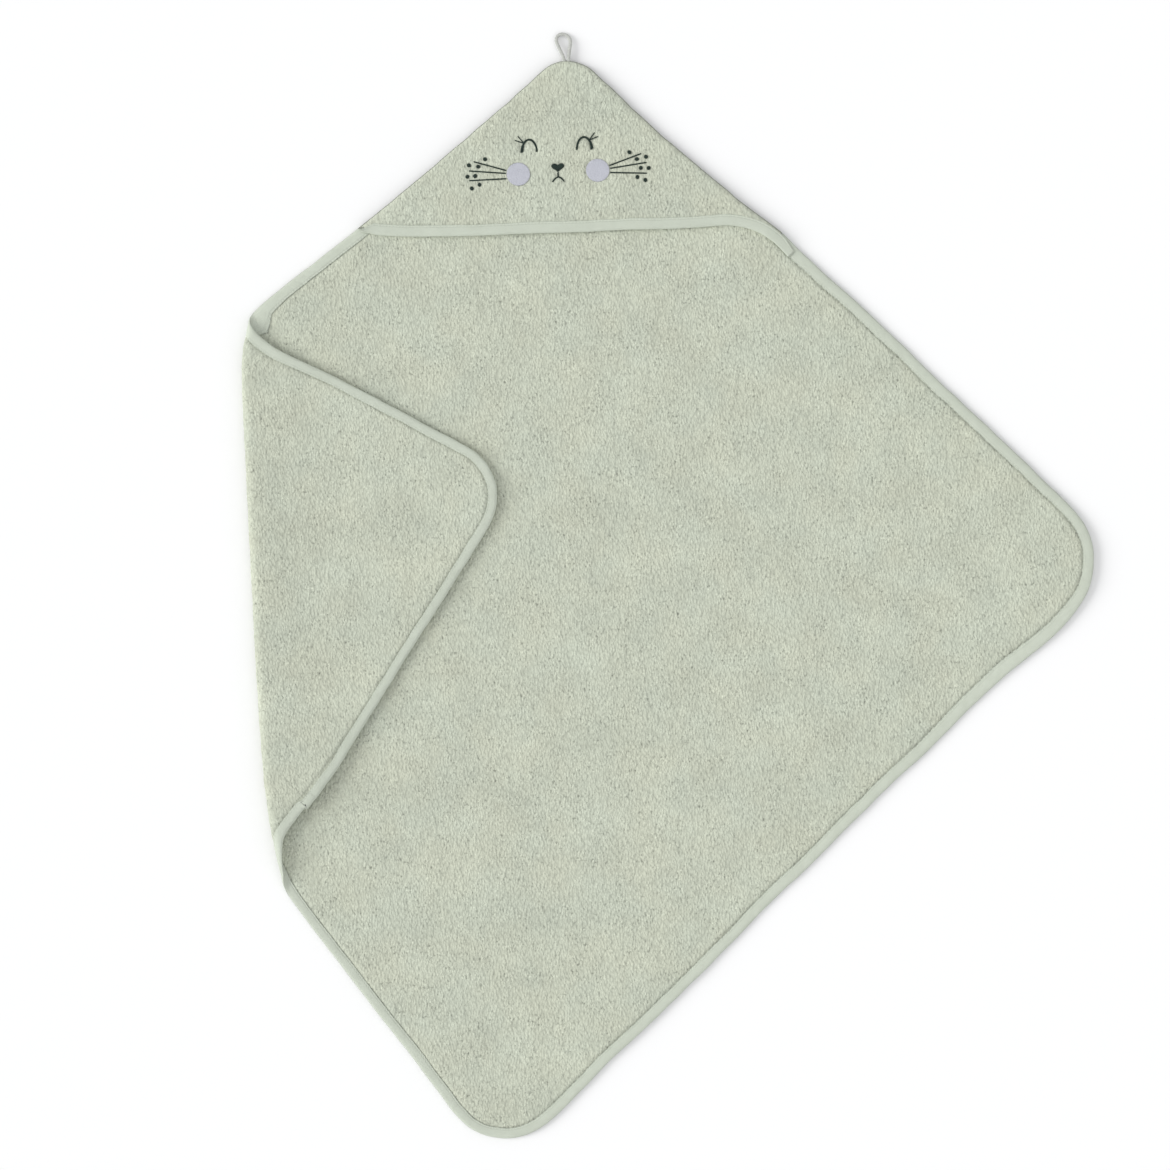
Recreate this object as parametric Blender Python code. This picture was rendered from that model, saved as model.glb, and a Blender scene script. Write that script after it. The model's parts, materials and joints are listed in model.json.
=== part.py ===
"""Hooded baby towel lying on a table, with its left corner folded over.

A square of terry is bound with folded tape. A terry triangle is sewn over one corner as a hood, with
an embroidered face, a bound mouth and a hanging loop in the seam at its tip. Metres, +Z up: the towel
lies on z = 0, +Y runs towards the hood's tip and the origin is the middle of the footprint.
"""

import math

import bmesh
import bpy
from mathutils import Vector

# ---------------------------------------------------------------- driving dimensions (m, degrees)
# Edges of the body cloth, each as a length and a heading from +X, walked from the hood's tip.
HOOD_RIGHT_EDGE = (0.284, -40.6)
RIGHT_EDGE = (0.469, -43.6)
LOWER_RIGHT_EDGE = (0.878, -135.5)
LOWER_LEFT_EDGE = (0.372, 126.9)
HOOD_LEFT_EDGE = (0.276, -139.3)
UPPER_LEFT_EDGE = (0.142, -141.6)
FLAP_UPPER_EDGE = (0.318, -29.6)  # from the fold to the tip of the folded corner

HOOD_TIP_RADIUS = 0.040
RIGHT_CORNER_RADIUS = 0.064
BOTTOM_CORNER_RADIUS = 0.068
FLAP_TIP_RADIUS = 0.056
ARC_STEPS = 10

CLOTH = 0.0036  # terry, pile to pile
TAPE_WIDTH = 0.012
TAPE_WALL = 0.0006
GAP = 0.0003  # between pieces that touch

STITCH_MARGIN = 0.0015  # stitching from the tape's inner edge
STITCH_RADIUS = 0.00025
STITCH_STOP = 0.0012  # how far stitching stops short of the cloth that lies over it
CREASE_SINK = 0.000125  # how far the turned-over cloth stays inside the two layers' outer faces

HOOD_LIFT_MAX = 20.0
WELD = 0.00001  # vertices closer than this are one

LOOP_CORD = 0.0035
LOOP_WIDTH = 0.018
LOOP_REACH = 0.029  # from the hood's tip to the far side of the loop
LOOP_LEG_GAP = 0.0007  # between the two legs where they enter the seam
LOOP_ARC_STEPS = 20
ANCHOR_DEPTH = 0.012
ANCHOR_SQUASH = 0.0003  # how much thinner the caught ends are than the cord
ANCHOR_STANDOUT = 0.001
NOTCH_CLEAR = 0.0009  # room past the caught ends, in the cloth's notch for them

FACE_BELOW_TIP = 0.1195  # the nose, from the hood's square tip
FACE_ASIDE = -0.0092
FACE_TILT = 2.8
FACE_THICKNESS = 0.0008
EYE_HALF_SPACING = 0.0274
EYE_BASE = 0.0163  # the feet of the eyes' arches, above the nose
EYE_WIDTH = 0.015
EYE_HEIGHT = 0.0125
EYE_STROKE = 0.0020
LASH_STROKE = 0.0011
LASH_ROOT = 50.0  # where on the eye's arch both lashes meet it
LASH_CLEAR = 0.0027  # from there to where they start, apart from each other
LASHES = ((52.0, 0.0094), (20.5, 0.0096))  # heading, and reach from the arch
NOSE_WIDTH = 0.013
NOSE_HEIGHT = 0.0095
HEART_RISE = 29.0  # of the heart curve, from its point to its lobes
MOUTH_DROP = 0.0058
MOUTH_STEM = 0.0037
MOUTH_STROKE = 0.0014
MOUTH_SPREAD = 0.006
MOUTH_FALL = 0.005
CHEEK_ASIDE = 0.0396
CHEEK_DOWN = 0.0050
CHEEK_RADIUS = 0.0117
WHISKER_STROKE = 0.0011
WHISKERS = (  # start and end beside the cheek, to the right of the nose
    ((0.0518, -0.0013), (0.0834, 0.0101)),
    ((0.0522, -0.0042), (0.0884, 0.0011)),
    ((0.0519, -0.0084), (0.0885, -0.0097)),
)
FRECKLE_RADIUS = 0.0021
FRECKLES = (
    (0.0721, 0.0115),
    (0.0884, 0.0062),
    (0.0792, 0.0044),
    (0.0905, -0.0051),
    (0.0827, -0.0047),
    (0.0788, -0.0137),
    (0.0866, -0.0170),
)

TERRY = ("terry", (0.555, 0.580, 0.470), 0.95)
TAPE = ("tape", (0.590, 0.620, 0.510), 0.80)
CORD = ("loop_cord", (0.380, 0.410, 0.340), 0.85)
STITCH = ("stitch_thread", (0.620, 0.650, 0.550), 0.70)
DARK = ("dark_thread", (0.018, 0.035, 0.026), 0.55)
BLUSH = ("blush_thread", (0.500, 0.480, 0.510), 0.60)

# ---------------------------------------------------------------- heights
FOLD_Z = CLOTH + GAP / 2  # middle of the gap between the two layers
UPPER_Z = CLOTH + GAP  # underside of the hood and of the folded corner
FACE_Z = UPPER_Z + CLOTH + GAP
SLOT = CLOTH - 2 * TAPE_WALL
TONGUE_RISE = TAPE_WALL + GAP  # the cloth's squeezed edge stays clear inside the tape
TONGUE = CLOTH - 2 * TONGUE_RISE
STITCH_INSET = TAPE_WIDTH - STITCH_MARGIN
LOOP_LEG_SPACE = LOOP_CORD + LOOP_LEG_GAP
ANCHOR_WIDTH = LOOP_LEG_SPACE + LOOP_CORD
ANCHOR_HEIGHT = LOOP_CORD - ANCHOR_SQUASH
REACH = 0.005  # how far a cut runs past the end of what it cuts
CLOTH_INSET = TAPE_WIDTH + GAP  # where the terry is at full thickness
EDGE_INSET = TAPE_WALL + GAP  # where its squeezed edge ends, inside the tape


# ---------------------------------------------------------------- plane geometry
def walk(start, edge):
    length, heading = edge
    turn = math.radians(heading)
    return start + length * Vector((math.cos(turn), math.sin(turn)))


def right_of(start, end):
    """Unit normal on the right-hand side of a step, which is the inside of a clockwise outline."""
    step = (end - start).normalized()
    return Vector((step.y, -step.x))


def shifted(line, distance):
    """The line moved to its right by the distance."""
    side = right_of(*line) * distance
    return line[0] + side, line[1] + side


def meet(first, second):
    """Where two lines cross, each given by two points."""
    step = first[1] - first[0]
    other = second[1] - second[0]
    share = (second[0] - first[0]).cross(other) / step.cross(other)
    return first[0] + step * share


def offset_run(points, inset, start_line=None, end_line=None, start_slip=0.0, end_slip=0.0):
    """An open run of corners moved inwards; its ends stop square, or on a given line."""
    lines = [shifted((a, b), inset) for a, b in zip(points, points[1:])]
    first = lines[0][0] + (lines[0][1] - lines[0][0]).normalized() * start_slip
    last = lines[-1][1] - (lines[-1][1] - lines[-1][0]).normalized() * end_slip
    if start_line:
        first = meet(lines[0], start_line)
    if end_line:
        last = meet(lines[-1], end_line)
    return [first] + [meet(a, b) for a, b in zip(lines, lines[1:])] + [last]


def rounded(points, radii):
    """An open run of corners, each inner corner rounded by its radius."""
    path = [points[0]]
    for before, corner, after, radius in zip(points, points[1:], points[2:], radii):
        arrive = (corner - before).normalized()
        leave = (after - corner).normalized()
        turn = arrive.angle_signed(leave)
        tangent = radius * math.tan(abs(turn) / 2)
        centre = corner - arrive * tangent + Vector((arrive.y, -arrive.x)) * radius * math.copysign(1, turn)
        spoke = corner - arrive * tangent - centre
        for step in range(ARC_STEPS + 1):
            angle = -turn * step / ARC_STEPS
            arm = Vector((
                spoke.x * math.cos(angle) - spoke.y * math.sin(angle),
                spoke.x * math.sin(angle) + spoke.y * math.cos(angle),
            ))
            path.append(centre + arm)
    path.append(points[-1])
    return path


def bound_run(run, inset, **ends):
    """A bound edge, moved inwards, with its corners rounded to match."""
    points, radii = run
    return rounded(offset_run(points, inset, **ends), [radius - inset for radius in radii])


# ---------------------------------------------------------------- layout
def layout(tip):
    """The named corners of the cloth, walked both ways from the hood's square tip."""
    hood_right = walk(tip, HOOD_RIGHT_EDGE)
    right = walk(hood_right, RIGHT_EDGE)
    bottom = walk(right, LOWER_RIGHT_EDGE)
    fold_low = walk(bottom, LOWER_LEFT_EDGE)
    hood_left = walk(tip, HOOD_LEFT_EDGE)
    fold_high = walk(hood_left, UPPER_LEFT_EDGE)
    flap_tip = walk(fold_high, FLAP_UPPER_EDGE)
    return tip, hood_right, right, bottom, fold_low, hood_left, fold_high, flap_tip


def footprint_middle():
    tip, hood_right, right, bottom, fold_low, hood_left, fold_high, _ = layout(Vector((0, 0)))
    body = rounded([hood_right, right, bottom, fold_low], [RIGHT_CORNER_RADIUS, BOTTOM_CORNER_RADIUS])
    hood = rounded([hood_left, tip, hood_right], [HOOD_TIP_RADIUS])
    left = min(fold_high.x, fold_low.x) - FOLD_Z
    top = max(point.y for point in hood) + LOOP_REACH
    low = min(point.y for point in body)
    return Vector(((left + max(point.x for point in body)) / 2, (top + low) / 2))


TIP, HOOD_RIGHT, RIGHT, BOTTOM, FOLD_LOW, HOOD_LEFT, FOLD_HIGH, FLAP_TIP = layout(-footprint_middle())

RIGHT_RUN = ([HOOD_RIGHT, RIGHT, BOTTOM, FOLD_LOW], [RIGHT_CORNER_RADIUS, BOTTOM_CORNER_RADIUS])
LEFT_RUN = ([FOLD_HIGH, HOOD_LEFT], [])
FLAP_RUN = ([FOLD_HIGH, FLAP_TIP, FOLD_LOW], [FLAP_TIP_RADIUS])
MOUTH_RUN = ([HOOD_RIGHT, HOOD_LEFT], [])
HOOD_RUN = ([HOOD_LEFT, TIP, HOOD_RIGHT], [HOOD_TIP_RADIUS])

BODY_FOLD = (FOLD_LOW, FOLD_HIGH)  # the body lies on the right of this line
FLAP_UPPER = (FOLD_HIGH, FLAP_TIP)
FLAP_LOWER = (FLAP_TIP, FOLD_LOW)
SEAM_RIGHT = (TIP, HOOD_RIGHT)
SEAM_LEFT = (HOOD_LEFT, TIP)
HOOD_SIDES = bound_run(HOOD_RUN, 0)
HOOD_TOP = max(HOOD_SIDES, key=lambda point: point.y)


def fold_line(inset):
    return shifted(BODY_FOLD, inset)


# ---------------------------------------------------------------- scene helpers
def clear_scene():
    for leftover in list(bpy.data.objects):
        bpy.data.objects.remove(leftover)


def new_collection(name):
    group = bpy.data.collections.new(name)
    bpy.context.scene.collection.children.link(group)
    return group


def material(look):
    name, colour, roughness = look
    found = bpy.data.materials.get(name)
    if found:
        return found
    made = bpy.data.materials.new(name)
    made.use_nodes = True
    shader = made.node_tree.nodes["Principled BSDF"]
    shader.inputs["Base Color"].default_value = (*colour, 1)
    shader.inputs["Roughness"].default_value = roughness
    shader.inputs["Metallic"].default_value = 0
    return made


clear_scene()
TOWEL = new_collection("hooded_baby_towel")
CUTTERS = new_collection("cutters")


def curve_to_mesh(name, curve):
    """The mesh of a curve, with its caps welded on."""
    source = bpy.data.objects.new(name + "_curve", curve)
    TOWEL.objects.link(source)
    bpy.context.view_layer.update()
    evaluated = source.evaluated_get(bpy.context.evaluated_depsgraph_get())
    mesh = bpy.data.meshes.new_from_object(evaluated)
    bpy.data.objects.remove(source)
    solid = bmesh.new()
    solid.from_mesh(mesh)
    bmesh.ops.remove_doubles(solid, verts=solid.verts, dist=WELD)
    bmesh.ops.recalc_face_normals(solid, faces=solid.faces)
    solid.to_mesh(mesh)
    solid.free()
    mesh.name = name
    return bpy.data.objects.new(name, mesh)


def poly_spline(curve, points, cyclic):
    spline = curve.splines.new("POLY")
    spline.points.add(len(points) - 1)
    for slot, point in zip(spline.points, points):
        slot.co = (*point, 1) if len(point) == 3 else (*point, 0, 1)
    spline.use_cyclic_u = cyclic


def plate(name, outline, low, high):
    """A flat outline raised into a plate between two heights."""
    curve = bpy.data.curves.new(name, "CURVE")
    curve.dimensions = "2D"
    curve.fill_mode = "BOTH"
    curve.extrude = (high - low) / 2
    poly_spline(curve, outline, cyclic=True)
    solid = curve_to_mesh(name, curve)
    solid.location.z = (high + low) / 2
    return solid


def tube(name, route, radius):
    """A round cord or thread along a route."""
    curve = bpy.data.curves.new(name, "CURVE")
    curve.dimensions = "3D"
    curve.bevel_depth = radius
    curve.bevel_resolution = 2
    curve.use_fill_caps = True
    poly_spline(curve, route, cyclic=False)
    return curve_to_mesh(name, curve)


def finish(solid, look):
    solid.data.materials.clear()
    solid.data.materials.append(material(look))
    solid.data.shade_smooth()
    solid.data.set_sharp_from_angle(angle=math.radians(35))
    TOWEL.objects.link(solid)
    return solid


def shape_with(solid, tool, operation):
    """Joins a tool to the solid or cuts it away."""
    if tool.name not in CUTTERS.objects:
        CUTTERS.objects.link(tool)
    tool.hide_render = True
    tool.display_type = "WIRE"
    change = solid.modifiers.new(tool.name, "BOOLEAN")
    change.operation = operation
    change.solver = "EXACT"
    change.object = tool


def band(run, outer, inner, outer_ends, inner_ends):
    """The closed strip between two insets of a bound edge."""
    return bound_run(run, outer, **outer_ends) + bound_run(run, inner, **inner_ends)[::-1]


def tape(name, run, low, ends, slot_ends):
    """Folded tape: a strip as thick as the cloth, slotted from its inner side for the cloth's edge."""
    strip = plate(name, band(run, 0, TAPE_WIDTH, ends, ends), low, low + CLOTH)
    slot = plate(
        name + "_slot",
        band(run, TAPE_WALL, TAPE_WIDTH + REACH, slot_ends, slot_ends),
        low + TAPE_WALL,
        low + TAPE_WALL + SLOT,
    )
    shape_with(strip, slot, "DIFFERENCE")
    return finish(strip, TAPE)


def cloth(name, low, full, squeezed):
    """Terry at its full thickness, with a thinner edge that the tape closes on."""
    solid = plate(name, full, low, low + CLOTH)
    edge = plate(name + "_edge", squeezed, low + TONGUE_RISE, low + TONGUE_RISE + TONGUE)
    shape_with(solid, edge, "UNION")
    return finish(solid, TERRY)


def stitch(name, run, height, **ends):
    """A row of stitching, laid on top of the tape."""
    row = bound_run(run, STITCH_INSET, **ends)
    level = height + GAP + STITCH_RADIUS
    return finish(tube(name, [(p.x, p.y, level) for p in row], STITCH_RADIUS), STITCH)


# ---------------------------------------------------------------- joints
def joint(name, place):
    pivot = bpy.data.objects.new(name, None)
    pivot.empty_display_size = 0.02
    pivot.location = place
    TOWEL.objects.link(pivot)
    return pivot


def hang_on(pivot, *solids):
    for solid in solids:
        solid.parent = pivot
        solid.location -= pivot.location


LOOP_STANDOFF = LOOP_CORD / 2 + GAP + CLOTH * math.sin(math.radians(HOOD_LIFT_MAX))
FOLD_MIDDLE = (FOLD_HIGH + FOLD_LOW) / 2
CORNER_FOLD = joint("corner_fold", (*FOLD_MIDDLE, FOLD_Z))
HOOD_LIFT = joint("hood_lift", (*HOOD_TOP, FOLD_Z))
LOOP_SWING = joint("loop_swing", (HOOD_TOP.x, HOOD_TOP.y + LOOP_STANDOFF, FOLD_Z))


# ---------------------------------------------------------------- body cloth
def anchor_notch():
    """Room between the two cloths for the loop's caught ends."""
    half = ANCHOR_WIDTH / 2 + GAP
    high = HOOD_TOP.y + REACH
    low = HOOD_TOP.y - ANCHOR_DEPTH - NOTCH_CLEAR
    outline = [
        Vector((HOOD_TOP.x - half, high)),
        Vector((HOOD_TOP.x + half, high)),
        Vector((HOOD_TOP.x + half, low)),
        Vector((HOOD_TOP.x - half, low)),
    ]
    rise = ANCHOR_HEIGHT / 2 + GAP
    return plate("anchor_notch", outline, FOLD_Z - rise, FOLD_Z + rise)


NOTCH = anchor_notch()


def body_outline(seam, edge, slip, fold):
    """The body cloth, inset by its own amount at the hood's seams, at the bound edges and at the fold."""
    outline = bound_run(HOOD_RUN, seam, start_slip=slip, end_slip=slip)
    outline += bound_run(RIGHT_RUN, edge, start_slip=slip, end_line=fold_line(fold))
    return outline + bound_run(LEFT_RUN, edge, start_line=fold_line(fold), end_slip=slip)


def towel_panel():
    full = body_outline(0, CLOTH_INSET, 0, GAP)
    squeezed = body_outline(GAP, EDGE_INSET, GAP, 2 * GAP)
    panel = cloth("towel_panel", 0, full, squeezed)
    shape_with(panel, NOTCH, "DIFFERENCE")


def body_tape():
    fold = {"end_line": fold_line(GAP), "start_slip": GAP}
    past = {"end_line": fold_line(-REACH), "start_slip": -REACH}
    tape("edge_tape_main", RIGHT_RUN, 0, fold, past)
    fold = {"start_line": fold_line(GAP), "end_slip": GAP}
    past = {"start_line": fold_line(-REACH), "end_slip": -REACH}
    tape("edge_tape_upper_left", LEFT_RUN, 0, fold, past)
    low = shifted(FLAP_LOWER, -STITCH_STOP)
    high = shifted(FLAP_UPPER, -STITCH_STOP)
    stitch("stitch_main", RIGHT_RUN, CLOTH, end_line=low, start_slip=TAPE_WALL)
    stitch("stitch_upper_left", LEFT_RUN, CLOTH, start_line=high, end_slip=TAPE_WALL)


# ---------------------------------------------------------------- folded corner
def corner_flap():
    fold = fold_line(GAP)
    inner_fold = fold_line(2 * GAP)
    ends = {"start_line": fold, "end_line": fold}
    full = bound_run(FLAP_RUN, CLOTH_INSET, **ends)
    squeezed = bound_run(FLAP_RUN, EDGE_INSET, start_line=inner_fold, end_line=inner_fold)
    flap = cloth("corner_flap", UPPER_Z, full, squeezed)
    past = fold_line(-REACH)
    binding = tape("edge_tape_flap", FLAP_RUN, UPPER_Z, ends, {"start_line": past, "end_line": past})
    clear = fold_line(GAP + STITCH_RADIUS)
    row = stitch("stitch_flap", FLAP_RUN, UPPER_Z + CLOTH, start_line=clear, end_line=clear)
    hang_on(CORNER_FOLD, flap, binding, row)


def bend(name, start, end, look):
    """The turned-over stretch of the fold, between two distances from its upper end."""
    along = (FOLD_LOW - FOLD_HIGH).normalized()
    outer = FOLD_Z - CREASE_SINK
    inner = GAP
    half_turn = [math.pi * step / ARC_STEPS for step in range(ARC_STEPS + 1)]
    section = [(outer * math.sin(turn), outer * math.cos(turn)) for turn in half_turn]
    section += [(inner * math.sin(turn), inner * math.cos(turn)) for turn in reversed(half_turn)]
    curve = bpy.data.curves.new(name, "CURVE")
    curve.dimensions = "2D"
    curve.fill_mode = "BOTH"
    curve.extrude = (end - start) / 2
    poly_spline(curve, section, cyclic=True)
    solid = curve_to_mesh(name, curve)
    middle = FOLD_HIGH + along * (start + end) / 2
    solid.location = (*middle, FOLD_Z)
    solid.rotation_euler = (math.radians(90), 0, math.atan2(along.y, along.x) - math.radians(90))
    return finish(solid, look)


def crease():
    """The cloth and the tape where they turn over the fold."""
    length = (FOLD_LOW - FOLD_HIGH).length
    high = (meet(fold_line(0), shifted(LEFT_RUN[0], TAPE_WIDTH)) - FOLD_HIGH).length
    low = (meet(fold_line(0), shifted(RIGHT_RUN[0][2:], TAPE_WIDTH)) - FOLD_LOW).length
    bend("crease_tape_upper", GAP, high, TAPE)
    bend("corner_crease", high + GAP, length - low - GAP, TERRY)
    bend("crease_tape_lower", length - low, length - GAP, TAPE)


# ---------------------------------------------------------------- hood
def seam_ends(inset):
    """Ends for a run along the mouth: on the two seams, or moved in from them."""
    return {"start_line": shifted(SEAM_RIGHT, inset), "end_line": shifted(SEAM_LEFT, inset)}


def hood():
    ends = seam_ends(0)
    full = HOOD_SIDES[1:-1] + offset_run(MOUTH_RUN[0], CLOTH_INSET, **ends)
    squeezed = bound_run(HOOD_RUN, GAP)[1:-1] + offset_run(MOUTH_RUN[0], EDGE_INSET, **seam_ends(GAP))
    panel = cloth("hood_panel", UPPER_Z, full, squeezed)
    shape_with(panel, NOTCH, "DIFFERENCE")
    past = seam_ends(-REACH)
    binding = tape("hood_mouth_tape", MOUTH_RUN, UPPER_Z, ends, past)
    row = stitch("stitch_hood_mouth", MOUTH_RUN, UPPER_Z + CLOTH, **seam_ends(TAPE_WALL))
    hang_on(HOOD_LIFT, panel, binding, row)


def hood_seams():
    """The thread of the turned seam, from the loop down to each end of the mouth."""
    clear = ANCHOR_WIDTH / 2 + STITCH_RADIUS + GAP
    rim = bound_run(HOOD_RUN, -STITCH_RADIUS - GAP)
    for side, sign in (("left", -1), ("right", 1)):
        route = [(p.x, p.y, FOLD_Z) for p in rim if sign * (p.x - HOOD_TOP.x) > clear]
        finish(tube("hood_seam_" + side, route, STITCH_RADIUS), STITCH)


# ---------------------------------------------------------------- embroidered face
FACE_TURN = math.radians(FACE_TILT)
NOSE_PLACE = Vector((TIP.x + FACE_ASIDE, TIP.y - FACE_BELOW_TIP))


def on_face(aside, up):
    """A place on the hood, given from the nose along the tilted face."""
    return NOSE_PLACE + Vector((
        aside * math.cos(FACE_TURN) - up * math.sin(FACE_TURN),
        aside * math.sin(FACE_TURN) + up * math.cos(FACE_TURN),
    ))


def stroke(points, width):
    """A flat line of thread with square ends, given by points along its middle."""
    places = [Vector(point) for point in points]
    left = []
    right = []
    for index, place in enumerate(places):
        before = places[max(index - 1, 0)]
        after = places[min(index + 1, len(places) - 1)]
        side = right_of(before, after) * width / 2
        left.append(place - side)
        right.append(place + side)
    return left + right[::-1]


def motif(name, outline, look):
    placed = [on_face(point[0], point[1]) for point in outline]
    solid = finish(plate(name, placed, FACE_Z, FACE_Z + FACE_THICKNESS), look)
    hang_on(HOOD_LIFT, solid)


def ring(centre, radius, steps):
    turns = [2 * math.pi * step / steps for step in range(steps)]
    return [(centre[0] + radius * math.cos(turn), centre[1] + radius * math.sin(turn)) for turn in turns]


def on_arch(middle, sign, turn):
    """A place on an eye's arch, turned from its outer foot."""
    return Vector((middle + sign * EYE_WIDTH / 2 * math.cos(turn), EYE_BASE + EYE_HEIGHT * math.sin(turn)))


def eye(side, sign):
    """A closed eye: an arch, with two lashes fanning from its outer shoulder."""
    middle = sign * EYE_HALF_SPACING
    arch = []
    for step in range(ARC_STEPS + 1):
        arch.append(on_arch(middle, sign, math.pi * step / ARC_STEPS))
    motif("eye_" + side, stroke(arch, EYE_STROKE), DARK)
    root = on_arch(middle, sign, math.radians(LASH_ROOT))
    for number, (heading, reach) in enumerate(LASHES, 1):
        turn = math.radians(heading)
        away = Vector((sign * math.cos(turn), math.sin(turn)))
        line = [root + away * LASH_CLEAR, root + away * reach]
        motif(f"lash_{side}_{number}", stroke(line, LASH_STROKE), DARK)


def nose():
    """A small heart lying point down."""
    outline = []
    for step in range(2 * ARC_STEPS):
        turn = math.pi * step / ARC_STEPS
        across = math.sin(turn) ** 3
        rise = 13 * math.cos(turn) - 5 * math.cos(2 * turn) - 2 * math.cos(3 * turn) - math.cos(4 * turn)
        outline.append((across * NOSE_WIDTH / 2, rise / HEART_RISE * NOSE_HEIGHT))
    motif("nose", outline, DARK)


def mouth():
    top = -MOUTH_DROP
    split = top - MOUTH_STEM
    foot = split - MOUTH_FALL
    motif("mouth_stem", stroke([(0, top), (0, split + MOUTH_STROKE + GAP)], MOUTH_STROKE), DARK)
    motif("mouth_curve", stroke([(-MOUTH_SPREAD, foot), (0, split), (MOUTH_SPREAD, foot)], MOUTH_STROKE), DARK)


def cheeks_and_whiskers(side, sign):
    motif("cheek_" + side, ring((sign * CHEEK_ASIDE, -CHEEK_DOWN), CHEEK_RADIUS, 24), BLUSH)
    for number, (start, end) in enumerate(WHISKERS, 1):
        line = [(sign * start[0], start[1]), (sign * end[0], end[1])]
        motif(f"whisker_{side}_{number}", stroke(line, WHISKER_STROKE), DARK)
    for number, (aside, up) in enumerate(FRECKLES, 1):
        motif(f"freckle_{side}_{number}", ring((sign * aside, up), FRECKLE_RADIUS, 12), DARK)


def face():
    nose()
    mouth()
    for side, sign in (("left", -1), ("right", 1)):
        eye(side, sign)
        cheeks_and_whiskers(side, sign)


# ---------------------------------------------------------------- hanging loop
def hanging_loop():
    """A round cord in a drop-shaped loop that lies from the seam down to the table."""
    pivot = LOOP_SWING.location
    radius = (LOOP_WIDTH - LOOP_CORD) / 2
    centre = LOOP_REACH - LOOP_STANDOFF - LOOP_CORD / 2 - radius
    foot = Vector((LOOP_LEG_SPACE / 2, GAP))
    arm = Vector((0, centre)) - foot
    start = -math.pi + math.atan2(arm.y, arm.x) + math.acos(radius / arm.length)
    path = [foot]
    for step in range(LOOP_ARC_STEPS + 1):
        turn = start + (math.pi - 2 * start) * step / LOOP_ARC_STEPS
        path.append(Vector((radius * math.cos(turn), centre + radius * math.sin(turn))))
    path.append(Vector((-foot.x, foot.y)))
    fall = (FOLD_Z - LOOP_CORD / 2 - GAP) / (centre + radius)
    route = [(pivot.x + p.x, pivot.y + p.y, pivot.z - fall * p.y) for p in path]
    loop = finish(tube("hanging_loop", route, LOOP_CORD / 2), CORD)
    hang_on(LOOP_SWING, loop)


def loop_anchor():
    half = ANCHOR_WIDTH / 2
    high = HOOD_TOP.y + ANCHOR_STANDOUT
    low = HOOD_TOP.y - ANCHOR_DEPTH
    outline = [
        Vector((HOOD_TOP.x - half, high)),
        Vector((HOOD_TOP.x + half, high)),
        Vector((HOOD_TOP.x + half, low)),
        Vector((HOOD_TOP.x - half, low)),
    ]
    finish(plate("loop_anchor", outline, FOLD_Z - ANCHOR_HEIGHT / 2, FOLD_Z + ANCHOR_HEIGHT / 2), CORD)


towel_panel()
body_tape()
corner_flap()
crease()
hood()
hood_seams()
face()
loop_anchor()
hanging_loop()
bpy.context.view_layer.update()
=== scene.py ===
"""How the hooded baby towel looks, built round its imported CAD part.

The cloth, its binding and its stitching are worked out flat, as the towel was sewn, and then laid
down: `laid` turns the left corner over a soft roll and lets the cloth settle unevenly on the floor.
Metres, +Z up, in the frame of the CAD part.
"""

import json
import math

import bmesh
import bpy
import numpy as np
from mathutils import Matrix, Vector
from mathutils.geometry import delaunay_2d_cdt
from mathutils.kdtree import KDTree


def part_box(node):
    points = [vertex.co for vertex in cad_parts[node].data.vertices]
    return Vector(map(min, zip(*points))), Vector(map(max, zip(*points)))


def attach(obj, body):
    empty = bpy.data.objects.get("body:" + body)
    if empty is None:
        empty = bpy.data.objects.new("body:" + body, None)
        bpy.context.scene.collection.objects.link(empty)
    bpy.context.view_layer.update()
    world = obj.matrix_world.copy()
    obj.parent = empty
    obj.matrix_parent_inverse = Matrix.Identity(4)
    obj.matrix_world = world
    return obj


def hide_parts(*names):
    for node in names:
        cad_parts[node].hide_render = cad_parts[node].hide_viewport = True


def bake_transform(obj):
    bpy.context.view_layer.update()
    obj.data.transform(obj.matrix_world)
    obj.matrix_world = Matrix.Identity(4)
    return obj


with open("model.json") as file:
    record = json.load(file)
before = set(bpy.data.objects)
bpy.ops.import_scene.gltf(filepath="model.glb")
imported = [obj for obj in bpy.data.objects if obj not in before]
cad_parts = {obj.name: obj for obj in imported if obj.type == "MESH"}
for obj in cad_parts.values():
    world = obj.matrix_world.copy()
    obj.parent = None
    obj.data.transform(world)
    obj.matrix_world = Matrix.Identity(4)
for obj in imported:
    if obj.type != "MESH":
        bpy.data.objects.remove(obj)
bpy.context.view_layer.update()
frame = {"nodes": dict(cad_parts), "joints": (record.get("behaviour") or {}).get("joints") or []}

# ---- the cut of the cloth
# Edges of the body cloth, each as a length and a heading from +X, walked from the hood's tip.
HOOD_RIGHT_EDGE = (0.284, -40.6)
RIGHT_EDGE = (0.469, -43.6)
LOWER_RIGHT_EDGE = (0.878, -135.5)
LOWER_LEFT_EDGE = (0.372, 126.9)
HOOD_LEFT_EDGE = (0.276, -139.3)
UPPER_LEFT_EDGE = (0.142, -141.6)
FLAP_UPPER_EDGE = (0.318, -29.6)

HOOD_TIP_RADIUS = 0.040
RIGHT_CORNER_RADIUS = 0.064
BOTTOM_CORNER_RADIUS = 0.068
FLAP_RADII = (0.01, 0.12, 0.056, 0.03)  # at its foot, its lower bend, its tip and its upper bend

# The hood's open edge, as steps from the hood's right corner and then from its left one.
MOUTH_FROM_RIGHT = (
    (0.005, -0.024), (-0.007, -0.011), (-0.021, -0.001),
    (-0.035, 0.005), (-0.056, 0.008), (-0.091, 0.005),
)
MOUTH_FROM_LEFT = ((0.115, -0.008), (0.065, -0.0085), (0.022, -0.0075), (0.0035, -0.0035))

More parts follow.
